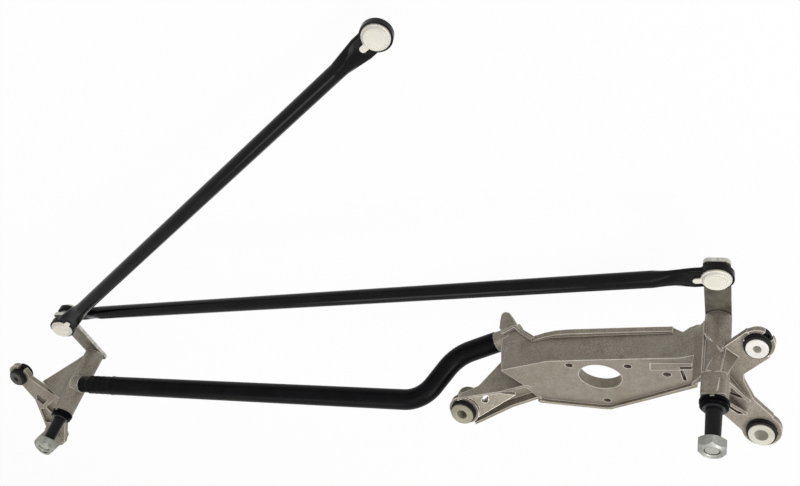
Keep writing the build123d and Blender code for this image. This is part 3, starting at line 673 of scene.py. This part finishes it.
HORN_OUTLINE = (
    (0.5, 0.0), (-2.0, -4.7), (-6.2, -23.0), (-8.1, -43.0), (-14.0, -49.1), (-15.2, -58.0),
    (-15.2, -65.7), (-13.6, -67.4), (-11.1, -67.7), (-6.4, -65.9), (-1.2, -59.2), (6.0, -49.0),
    (16.0, -40.5), (28.3, -31.3), (29.5, -29.5), (29.5, 0.0),
)
HORN_LEDGE = ((29.0, -26.4), (16.0, -36.4), (6.0, -45.6), (-8.1, -41.2))
HORN_LEDGE_W = 2.6
HORN = plane((-87.0, 12.5, 0.0), (13.0, -46.7, 0), (46.7, 13.0, 0))
REAR_RIBS = (
    ((-66.0, -31.6), (-84.0, 8.0)),
    ((22.0, -6.0), (76.0, -2.0)),
    ((-22.0, 6.0), (-80.0, 0.0)),
    ((30.0, 24.0), (78.0, 0.0), (98.0, 26.0)),
)
PAD_OUTLINE = ((47.6, 22.0), (45.4, 11.5), (79.3, 10.8), (81.2, 21.1))
PAD_H = 1.2
FOOT_ROOT = (-74.6, -13.0, 0.0)
FOOT_RIDGE = (-94.8, -9.1, 10.0)
FOOT_TOP = (-127.0, -3.0, 19.0)
FOOT_LOW = (-117.4, -23.6, 26.0)
FOOT_FLOOR_T = 4.0
FOOT_FAR_Y = -31.5
PANEL_T = 3.0
PANEL_SLOT = (-108.1, -11.0, 16.0)
PANEL_OUTLINE = (
    (-133.0, -4.0), (-127.0, -4.0), (-95.0, -10.0), (-82.0, -16.0), (-117.4, -25.0), (-133.0, -22.0),
)
FLOOR_OUTLINE = (
    (-66.0, -15.0), (-75.0, -15.0), (-133.0, -4.0), (-133.0, -24.0), (-121.0, -34.0), (-66.0, -34.0),
)
FOOT_WALL_OUTLINE = (
    (-12.0, -24.0), (-12.0, 0.0), (0.3, 0.5), (21.0, 9.4), (52.8, 18.8), (57.5, 20.4), (58.0, 17.5),
    (54.6, 14.1), (48.7, 10.2), (41.6, 5.2), (33.4, -8.9), (25.4, -22.6), (24.6, -24.0),
)
FOOT_FAR_OUTLINE = (
    (-64.0, -8.0), (-64.0, 1.0), (-68.0, 1.5), (-90.3, 10.0), (-118.5, 26.0), (-124.0, 29.0),
    (-124.0, 12.0), (-90.0, -4.0), (-72.0, -8.0),
)
FOOT_WALL = plane(FOOT_ROOT, (10.0, 52.4, 0), (-52.4, 10.0, 0))
PANEL_FRONT = plane_through(FOOT_TOP, FOOT_RIDGE, FOOT_LOW)
FLOOR_FRONT = plane_through((-75.0, -13.0, -4.0), (-120.0, -5.0, 13.0), (-120.0, -33.0, 14.0))
BLOCK_HIGH = BOSS_LENGTH - 2.5
BLOCK_LOW = BLOCK_HIGH - 19.5
BLOCK_OUTLINE = rounded((0, 0.3), 19.0, 19.6, 3.0)
CORNER_WEB = ((83.5, 27.5), (84.5, 31.0), (91.0, 38.5), (93.0, 41.5), (96.0, 40.0), (92.0, 33.0))
CORNER_WEB_REACH = 26.0
RIGHT_V = (
    (-9.0, 0.0), (4.4, 8.5), (12.0, 14.4), (25.4, 24.2), (31.8, 12.0), (39.3, -0.4), (18.2, -15.6),
    (17.6, -22.5), (23.1, -40.4), (35.5, -57.0), (25.2, -70.0), (13.4, -75.0), (-1.2, -56.0),
    (-9.5, -38.0),
)
RIGHT_POCKETS = (
    ((-2.5, -13.5), (13.5, -2.2), (-3.4, -28.6), (-6.5, -30.0)),
    ((7.2, -25.0), (18.6, -40.4), (5.4, -34.6)),
    ((3.0, -42.2), (8.9, -43.6), (16.3, -53.9), (9.1, -54.0), (3.0, -48.0)),
)
RIGHT_RIBS = (
    ((105.0, 43.0, 41.5), (118.4, 33.2, 4.9), (110.5, 41.0, -3.0)),
    ((94.6, 42.6, -12.8), (109.0, 43.0, 4.5), (101.0, 36.0, 4.0)),
    ((110.5, 38.0, 28.0), (122.0, -6.9, 20.6), (108.5, 15.7, 9.0)),
    ((108.0, 25.5, 39.0), (118.2, -17.8, 24.8), (105.4, -6.0, 18.0)),
)
RIGHT_WEDGE = (
    (96.5, 43.6, 22.5), (105.6, 43.6, 23.9), (117.8, 33.9, 4.9), (107.8, 41.5, 1.9), (101.7, 43.6, 10.6),
    (102.4, 33.1, 24.0), (102.4, 33.1, -2.0), (112.0, 33.1, -2.0),
)


def hull(points):
    """The smallest shape without hollows round some points."""
    bm = bmesh.new()
    for spot in points:
        bm.verts.new(spot)
    made = bmesh.ops.convex_hull(bm, input=bm.verts)
    bmesh.ops.delete(bm, geom=list({*made["geom_interior"], *made["geom_unused"]}), context="VERTS")
    return closed_mesh(bm)


def triangle_rib(first, second, third):
    """A thin flat rib between three points."""
    along = Vector(second) - Vector(first)
    base = plane(first, along.cross(Vector(third) - Vector(first)), along)
    corners = [base.inverted() @ Vector(spot) for spot in (first, second, third)]
    return prism(base, [corner.xy for corner in corners], -RIB_T / 2, RIB_T / 2)


def bracket_mesh():
    """The right casting: plates and feet, then pockets, then ribs and spigot, then holes."""
    feet = FEET[:3]
    boss = BASES["right"]
    wall = band([(x, y - WALL_T / 2) for x, y in WALL_LINE], WALL_T)
    slot_spot = (PANEL_FRONT.inverted() @ Vector(PANEL_SLOT)).xy
    forms = [
        prism(TOP, FLANGE_OUTLINE, WALL_TOP, WALL_TOP + FLANGE_T),
        prism(HORN, HORN_OUTLINE, 0, WALL_T),
        prism(HORN, band(HORN_LEDGE, HORN_LEDGE_W), -HORN_LEDGE_W, WALL_T / 2),
        prism(TOP, LIP_OUTLINE, -PLATE_T, LIP_H),
        prism(TOP, circle((0, 0), MOTOR_RING_D), -PLATE_T - MOTOR_RING_H, -PLATE_T),
        prism(TOP, PAD_OUTLINE, 0, PAD_H),
        prism(FOOT_WALL, FOOT_WALL_OUTLINE, -WALL_T, 0),
        prism(lifted(EDGE_ON, -FOOT_FAR_Y), FOOT_FAR_OUTLINE, 0, WALL_T),
        slab(PANEL_OUTLINE, PANEL_FRONT, PANEL_T),
        slab(FLOOR_OUTLINE, FLOOR_FRONT, FOOT_FLOOR_T),
        prism(boss, circle((0, 0), BOSS_OD), 0, BOSS_LENGTH),
        prism(boss, BLOCK_OUTLINE, BLOCK_LOW, BLOCK_HIGH),
        prism(TOP, CORNER_WEB, -CORNER_WEB_REACH, CORNER_WEB_REACH),
        prism(RIGHT_FEET, RIGHT_V, -EAR_T, 0),
        *ear_rings(feet),
    ]
    for spot in MOTOR_BOLTS:
        forms.append(prism(TOP, circle(spot, MOTOR_BOLT_BOSS_D), -PLATE_T - MOTOR_RING_H, -PLATE_T))
    for line in REAR_RIBS:
        forms.append(prism(TOP, band(line, WALL_T), -PLATE_T - 2 * MOTOR_RING_H, -PLATE_T))
    spigot = [
        prism(TUBE_RIGHT, circle((0, 0), SPIGOT_D), -SPIGOT_DEPTH, 0),
        prism(TUBE_RIGHT, circle((0, 0), SHOULDER_D), 0, SHOULDER_LENGTH),
    ]
    holes = [
        prism(TOP, circle((0, 0), MOTOR_HOLE_D), -2 * THROUGH, THROUGH),
        prism(TOP, circle(SIDE_HOLE, SIDE_HOLE_D, 32), -2 * THROUGH, THROUGH),
        *[
            prism(TOP, slot_outline(spot, length, BLIND_SLOT_W, turn), -GROOVE_DEPTH, THROUGH)
            for spot, length, turn in BLIND_SLOTS
        ],
        prism(plane(PANEL_SLOT, SIGHT_LINE), slot_outline((0, 0), 8.0, 5.0, 100.0), -3 * THROUGH, 0),
        prism(boss, circle((0, 0), BUSH_OD), -THROUGH, BOSS_LENGTH + THROUGH),
        prism(PANEL_FRONT, slot_outline(slot_spot, 8.0, 4.5, PANEL_SLOT_TURN), -2 * PANEL_T, PANEL_T),
        *[prism(TOP, circle(spot, MOTOR_BOLT_D, 32), -2 * PLATE_T, PLATE_T) for spot in MOTOR_BOLTS],
        *ear_cuts(feet),
    ]
    return carve([
        ("UNION", [prism(TOP, PLATE_OUTLINE, -PLATE_T, 0), prism(TOP, wall, WALL_TOP, 0)]),
        ("DIFFERENCE", [prism(EDGE_ON, WALL_TOP_CUT, -6 * THROUGH, 0)]),
        ("UNION", forms),
        ("DIFFERENCE", [prism(RIGHT_FEET, pocket, -POCKET_DEPTH, 1) for pocket in RIGHT_POCKETS]),
        ("UNION", [*[triangle_rib(*rib) for rib in RIGHT_RIBS], hull(RIGHT_WEDGE), *spigot]),
        ("DIFFERENCE", holes),
    ])


casting = piece("bracket_casting", bracket_mesh(), CAST, "frame", "motor_bracket")
soften(casting)

# Left housing: boss, web, tilted V-plate and the stub that the cross tube sits on
LEFT_WEB = (
    (0.0, 2.7), (-12.9, 2.7), (-19.7, 9.1), (-57.1, 38.4), (-34.9, 50.7), (-17.2, 59.6), (0.0, 66.7),
)
LEFT_WEB_T = 6.0
LEFT_V = (
    (-4.0, -3.0), (-27.8, -6.6), (-43.4, 5.0), (-59.0, 19.8), (-65.0, 26.5), (-73.2, 23.8),
    (-76.5, 8.3), (-68.6, -9.9), (-74.5, -48.9), (-81.5, -55.5), (-68.4, -62.2), (-58.0, -72.0),
    (-50.5, -60.5), (-40.5, -45.0), (-25.2, -14.0), (-10.0, -10.0),
)
LEFT_POCKETS = (
    ((-47.6, -10.2), (-60.5, -2.0), (-66.0, -9.5), (-60.0, -17.0)),
    ((-40.0, -11.0), (-56.4, -20.4), (-52.0, -29.0), (-33.0, -20.0)),
    ((-59.0, -22.5), (-67.5, -23.0), (-71.5, -42.0), (-58.0, -43.0), (-52.0, -34.0)),
)
STUB_D = 18.4


def housing_mesh():
    """The left casting: boss, web and feet, then pockets, then the tube's spigot, then holes."""
    feet = FEET[3:]
    boss = BASES["left"]
    upright = plane(boss.col[3].to_3d(), (0, -1, 0), (1, 0, 0))
    bore = prism(boss, circle((0, 0), BUSH_OD), -THROUGH, BOSS_LENGTH + THROUGH)
    return carve([
        ("UNION", [
            prism(boss, circle((0, 0), BOSS_OD), 0, BOSS_LENGTH),
            prism(upright, LEFT_WEB, -LEFT_WEB_T / 2, LEFT_WEB_T / 2),
            prism(LEFT_FEET, LEFT_V, -EAR_T, 0),
            *ear_rings(feet),
        ]),
        ("DIFFERENCE", [prism(LEFT_FEET, pocket, -POCKET_DEPTH, 1) for pocket in LEFT_POCKETS]),
        ("UNION", [
            prism(TUBE_LEFT, circle((0, 0), STUB_D), -BOSS_OD / 2, 0),
            prism(TUBE_LEFT, circle((0, 0), SPIGOT_D), -1, SPIGOT_DEPTH),
        ]),
        ("DIFFERENCE", [bore, *ear_cuts(feet)]),
    ])


housing = piece("left_casting", housing_mesh(), CAST, "frame", "left_housing")
soften(housing)

# Rubber grommets with a groove round each flange
for name, base, spot, _, hole, rubber_d, _ in FEET:
    core = hole / 2 + 2.0
    r = rubber_d / 2
    inner = r - CORE_INSET
    profile = (
        (core, 5.0), (r - 1.2, 5.0), (r - 0.4, 4.6), (r - 0.4, 3.4), (r - 1.3, 2.9), (r - 1.3, 2.4),
        (r, 1.9), (r, 0.5), (r - 0.5, 0.1), (inner, 0.0), (inner, -EAR_T), (r - 0.5, -EAR_T - 0.1),
        (r, -EAR_T - 0.6), (r, -7.6), (r - 1.3, -8.1), (r - 1.3, -8.7), (r - 0.3, -9.2),
        (r - 0.3, REAR_LOW + 0.6), (r - 1.0, REAR_LOW), (core, REAR_LOW),
    )
    middle = base @ Matrix.Translation((spot[0], spot[1], 0.0))
    piece(f"rubber_{name}", lathe(middle, profile), RUBBER, "frame", f"grommet_{name}")

# Cross tube, swept along its bent line, with a swaged neck and a rough crimped end on the left
TUBE_R = 10.0
NECK_R = 9.0
NECK_LENGTH = 11.0
CRIMP_END = 41.0
TUBE_BORE = 8.25
BEND_RADII = (36.0, 46.0)


def bent_line(points, radii, step=2.0):
    """Places and directions along a line whose corners are round."""
    points = [Vector(p) for p in points]
    places = []
    start = points[0]
    for k, radius in enumerate(radii):
        a = (points[k + 1] - points[k]).normalized()
        b = (points[k + 2] - points[k + 1]).normalized()
        turn = a.angle(b)
        reach = radius * math.tan(turn / 2)
        arc_start = points[k + 1] - a * reach
        count = max(2, int((arc_start - start).length / step))
        places += [(start.lerp(arc_start, i / count), a) for i in range(count)]
        side = (b - a * a.dot(b)).normalized()
        count = max(4, int(radius * turn / step))
        for i in range(count):
            t = turn * i / count
            place = arc_start + a * radius * math.sin(t) + side * radius * (1 - math.cos(t))
            places.append((place, a * math.cos(t) + side * math.sin(t)))
        start = points[k + 1] + b * reach
    count = max(2, int((points[-1] - start).length / step))
    places += [(start.lerp(points[-1], i / count), b) for i in range(count + 1)]
    return places


def tube_radius(run):
    """The outer radius at a distance from the left end."""
    if run < NECK_LENGTH:
        return NECK_R
    if run < CRIMP_END:
        return TUBE_R - 0.15 + 0.12 * math.sin(run * 2.3)
    if run < CRIMP_END + 2.5:
        return TUBE_R + 0.45
    return TUBE_R


def tube_mesh(count=64):
    """The hollow tube, as rings along its line."""
    bm = bmesh.new()
    rings = []
    side = None
    run = 0.0
    last = None
    path = bent_line((TUBE_START, TUBE_BEND_1, TUBE_BEND_2, TUBE_END), BEND_RADII)
    for place, along in path:
        run += (place - last).length if last else 0.0
        last = place
        side = (side - along * side.dot(along)).normalized() if side else along.orthogonal().normalized()
        other = along.cross(side)
        for radii, ring in ((tube_radius(run), "outer"), (TUBE_BORE, "bore")):
            rings.append([
                bm.verts.new(place + (side * math.cos(a) + other * math.sin(a)) * radii)
                for a in [2 * math.pi * k / count for k in range(count)]
            ])
    outer, bore = rings[0::2], rings[1::2]
    pairs = list(zip(outer, outer[1:])) + list(zip(bore, bore[1:]))
    pairs += [(outer[0], bore[0]), (outer[-1], bore[-1])]
    for a, b in pairs:
        for k in range(count):
            bm.faces.new((a[k - 1], a[k], b[k], b[k - 1]))
    return closed_mesh(bm)


piece("tube_skin", tube_mesh(), TUBE, "frame", "cross_tube", 40.0)

# Hexagon nuts, collars and cranks on the two spindles
NUT_FLATS = 20.3
NUT_TURN = {"left": 7.7, "right": -10.8}
NUT_BORE_R = THREAD_D / 2 + 0.05
NUT_EDGE_ROUND = 0.0005
COLLAR_PROFILE = (
    (10.55, -1.6), (10.9, -1.6), (11.4, -1.1), (11.4, 1.2), (11.0, 1.8), (10.4, 2.0), (10.4, 2.3),
    (10.9, 2.6), (10.9, 4.0), (10.2, 4.8), (9.2, 5.0), (8.4, 4.9), (7.9, 4.4), (6.35, 4.4),
    (6.35, 0.02), (10.55, 0.02),
)
COLLAR_NOTCH = rounded((0, 11.4), 4.5, 2.0, 0.4)
CRANK_WIDTH = 20.5
CRANK_CORNER = 5.0
CRANK_PIVOT_MARGIN = 11.8
CRANK_BALL_MARGINS = {"left": 13.0, "right": 9.4}
CRANK_DIR = Vector((math.cos(CRANK_ANGLE), math.sin(CRANK_ANGLE), 0))


def nut_mesh(side, base):
    """A hexagon whose corners are turned off at both ends, with a raised ring on its face."""
    flat = NUT_FLATS / 2
    corner = NUT_FLATS / math.sqrt(3)
    turns = [math.radians(NUT_TURN[side] + 30 + 60 * k) for k in range(6)]
    hexagon = [(corner * math.cos(a), corner * math.sin(a)) for a in turns]
    low, high = CONE_HIGH, CONE_HIGH + NUT_HEIGHT
    turned = lathe(base, (
        (NUT_BORE_R, low), (flat - 0.4, low), (corner, low + 1.2), (corner, high - 3.0),
        (flat - 0.6, high - 0.7), (flat - 1.2, high), (flat - 1.9, high), (flat - 2.3, high - 0.35),
        (NUT_BORE_R + 1.0, high - 0.35), (NUT_BORE_R, high - 1.3),
    ))
    return carve([("UNION", [prism(base, hexagon, low, high)]), ("INTERSECT", [turned])])


def collar_mesh(base):
    """A stepped ring over the boss mouth, with a notch at its foot."""
    ring = lathe(base, [(radius, BOSS_LENGTH + height) for radius, height in COLLAR_PROFILE])
    notch = prism(base, COLLAR_NOTCH, BOSS_LENGTH - 2, BOSS_LENGTH + 1.2)
    return carve([("UNION", [ring]), ("DIFFERENCE", [notch])])


def crank_mesh(side, base):
    """A flat bar with round corners, from behind the spindle to past the ball."""
    length = CRANK_PIVOT_MARGIN + CRANK_LENGTH + CRANK_BALL_MARGINS[side]
    middle = (length / 2 - CRANK_PIVOT_MARGIN, 0)
    bar = rounded(middle, length, CRANK_WIDTH, CRANK_CORNER, count=12)
    flat = plane(base.col[3].to_3d(), (0, 0, 1), CRANK_DIR)
    return prism(flat, bar, CRANK_FACE - CRANK_T, CRANK_FACE)


for side, base in BASES.items():
    spindle = f"{side}_spindle"
    nut = piece(f"hex_nut_{side}", nut_mesh(side, base), NUT, spindle, f"nut_{side}")
    soften(nut, NUT_EDGE_ROUND)
    piece(f"cap_ring_{side}", collar_mesh(base), BLACK_PLASTIC, "frame", f"collar_{side}")
    crank = piece(f"bar_{side}", crank_mesh(side, base), CRANK, spindle, f"crank_{side}")
    crank.data.materials.append(CRANK_EDGE)
    for face in crank.data.polygons:
        if abs(face.normal.z) < 0.5:
            face.material_index = 1
    soften(crank)

# Ivory ball sockets: a brim, a raised rim and a slightly sunk face, with the ball's room inside
BALL_LIFT = Vector((0, 0, CRANK_FACE + BALL_HEIGHT))
BALL_RIGHT = BASES["right"].col[3].to_3d() + CRANK_DIR * CRANK_LENGTH + BALL_LIFT
BALL_FRONT = BASES["left"].col[3].to_3d() + CRANK_DIR * CRANK_LENGTH + BALL_LIFT
BALL_REAR = BALL_FRONT - Vector((0, 0, 2 * BALL_HEIGHT + CRANK_T))
LONG_DIR = (BALL_RIGHT - BALL_REAR).normalized()
LONG_UP = LONG_DIR.cross(Vector((0, 0, 1)).cross(LONG_DIR)).normalized()
MOTOR_DIR = Vector((
    math.cos(MOTOR_LINK_ANGLE) * math.cos(MOTOR_LINK_DROOP),
    math.sin(MOTOR_LINK_ANGLE) * math.cos(MOTOR_LINK_DROOP),
    -math.sin(MOTOR_LINK_DROOP),
))
MOTOR_UP = MOTOR_DIR.cross(Vector((0, 0, 1)).cross(MOTOR_DIR)).normalized()
SOCKET_MOUTH = -3.8
MOUTH_ANGLE = math.acos(SOCKET_MOUTH / BALL_ROOM)
BALL_TURNS = [MOUTH_ANGLE * k / 14 for k in range(15)]
SOCKET_EDGE_ROUND = 0.0002
SOCKET_PROFILE = (
    *[(BALL_ROOM * math.sin(a), BALL_ROOM * math.cos(a)) for a in BALL_TURNS],
    (9.15, SOCKET_MOUTH), (9.75, -3.0), (9.75, 0.25), (11.5, 0.25), (11.5, 4.3), (11.2, 4.9),
    (10.4, 5.3), (10.0, 6.3), (9.5, 7.1), (8.9, 7.5), (8.3, 7.4), (7.7, 7.05), (6.8, 6.95), (0, 7.05),
)
SOCKET_TAB = slot_outline((12.5, 0), 9.8, 5.6)
SOCKET_TAB_HEIGHTS = (3.75, 4.9)
SOCKETS = (
    ("long_link_left", "long_link", BALL_REAR, -LONG_UP, LONG_DIR),
    ("long_link_right", "long_link", BALL_RIGHT, LONG_UP, -LONG_DIR),
    ("motor_link_left", "motor_link", BALL_FRONT, MOTOR_UP, MOTOR_DIR),
    ("motor_link_free", "motor_link", BALL_FRONT + MOTOR_DIR * MOTOR_LINK_LENGTH, MOTOR_UP, -MOTOR_DIR),
)
for name, body, place, up, along in SOCKETS:
    base = plane(place, up, along)
    tab = prism(base, SOCKET_TAB, *SOCKET_TAB_HEIGHTS)
    shape = carve([("UNION", [lathe(base, SOCKET_PROFILE), tab])])
    cup = piece(f"cup_{name}", shape, IVORY, body, f"socket_{name}", 40.0)
    soften(cup, SOCKET_EDGE_ROUND)

# Floor, lamps, world and camera
BACKDROP_SHARE = 0.96
WORLD_LIGHT = 0.31
WHITE_LIGHT = (1.0, 1.0, 1.0, 1.0)
FLOOR_SPOT = (-0.2, 0.1, -0.125)

# Lamps: name, place, aim, side length, watts
LAMPS = (
    ("key", (0.1, 0.9, 1.45), (-0.2, 0.05, 0.0), 0.9, 5.0),
    ("overhead", (-0.75, 0.0, 1.35), (-0.2, 0.05, 0.0), 0.6, 4.0),
    ("right_side", (0.65, 0.15, 0.95), (0.05, 0.0, 0.0), 0.5, 8.0),
)
CAMERA_LENS = 40.70
CAMERA_SPOT = (0.2219, 0.6577, 0.4228)
CAMERA_RIGHT = (0.8813, -0.4013, -0.2494)
CAMERA_UP = (0.0762, 0.6417, -0.7631)
CAMERA_BACK = (0.4663, 0.6536, 0.5961)


def seen_directly(tree):
    """One for rays from the camera, a reflection or a clear part, and zero for the light itself."""
    path = tree.nodes.new("ShaderNodeLightPath")
    first = tree.nodes.new("ShaderNodeMath")
    second = tree.nodes.new("ShaderNodeMath")
    first.operation = second.operation = "MAXIMUM"
    tree.links.new(path.outputs["Is Camera Ray"], first.inputs[0])
    tree.links.new(path.outputs["Is Glossy Ray"], first.inputs[1])
    tree.links.new(first.outputs[0], second.inputs[0])
    tree.links.new(path.outputs["Is Transmission Ray"], second.inputs[1])
    return second.outputs[0]


bpy.ops.mesh.primitive_plane_add(size=8.0, location=FLOOR_SPOT)
floor = bpy.context.object
floor.name = "floor"
floor_finish = Maker("floor_pale")
floor_finish.put("Base Color", (0.86, 0.86, 0.86, 1.0))
floor_finish.put("Roughness", 0.9)
floor_finish.put("Specular IOR Level", 0.0)
glow = floor_finish.node("ShaderNodeEmission")
share = floor_finish.node("ShaderNodeMath", operation="MULTIPLY")
floor_finish.link(seen_directly(floor_finish.tree), share.inputs[0])
share.inputs[1].default_value = BACKDROP_SHARE
blend = floor_finish.node("ShaderNodeMixShader")
floor_finish.link(share.outputs[0], blend.inputs["Fac"])
floor_finish.link(floor_finish.bsdf.outputs["BSDF"], blend.inputs[1])
floor_finish.link(glow.outputs["Emission"], blend.inputs[2])
floor_finish.link(blend.outputs["Shader"], floor_finish.tree.nodes["Material Output"].inputs["Surface"])
floor.data.materials.append(floor_finish.mat)

world = bpy.data.worlds.new("studio")
scene.world = world
world.use_nodes = True
world_tree = world.node_tree
plain = world_tree.nodes["Background"]
plain.inputs["Color"].default_value = WHITE_LIGHT
plain.inputs["Strength"].default_value = WORLD_LIGHT
white = world_tree.nodes.new("ShaderNodeBackground")
white.inputs["Color"].default_value = WHITE_LIGHT
white.inputs["Strength"].default_value = 1.0
choose = world_tree.nodes.new("ShaderNodeMixShader")
world_tree.links.new(seen_directly(world_tree), choose.inputs["Fac"])
world_tree.links.new(plain.outputs["Background"], choose.inputs[1])
world_tree.links.new(white.outputs["Background"], choose.inputs[2])
world_tree.links.new(choose.outputs["Shader"], world_tree.nodes["World Output"].inputs["Surface"])

for name, place, aim, size, watts in LAMPS:
    data = bpy.data.lights.new(name, "AREA")
    data.shape = "SQUARE"
    data.size = size
    data.energy = watts
    lamp = bpy.data.objects.new(name, data)
    scene.collection.objects.link(lamp)
    lamp.location = place
    lamp.rotation_euler = (Vector(aim) - Vector(place)).to_track_quat("-Z", "Y").to_euler()

cam_data = bpy.data.cameras.new("camera")
cam_data.sensor_width = 36.0
cam_data.lens = CAMERA_LENS
cam_data.clip_start = 0.01
camera = bpy.data.objects.new("camera", cam_data)
scene.collection.objects.link(camera)
camera.matrix_world = Matrix((
    (CAMERA_RIGHT[0], CAMERA_UP[0], CAMERA_BACK[0], CAMERA_SPOT[0]),
    (CAMERA_RIGHT[1], CAMERA_UP[1], CAMERA_BACK[1], CAMERA_SPOT[1]),
    (CAMERA_RIGHT[2], CAMERA_UP[2], CAMERA_BACK[2], CAMERA_SPOT[2]),
    (0.0, 0.0, 0.0, 1.0),
))
scene.camera = camera
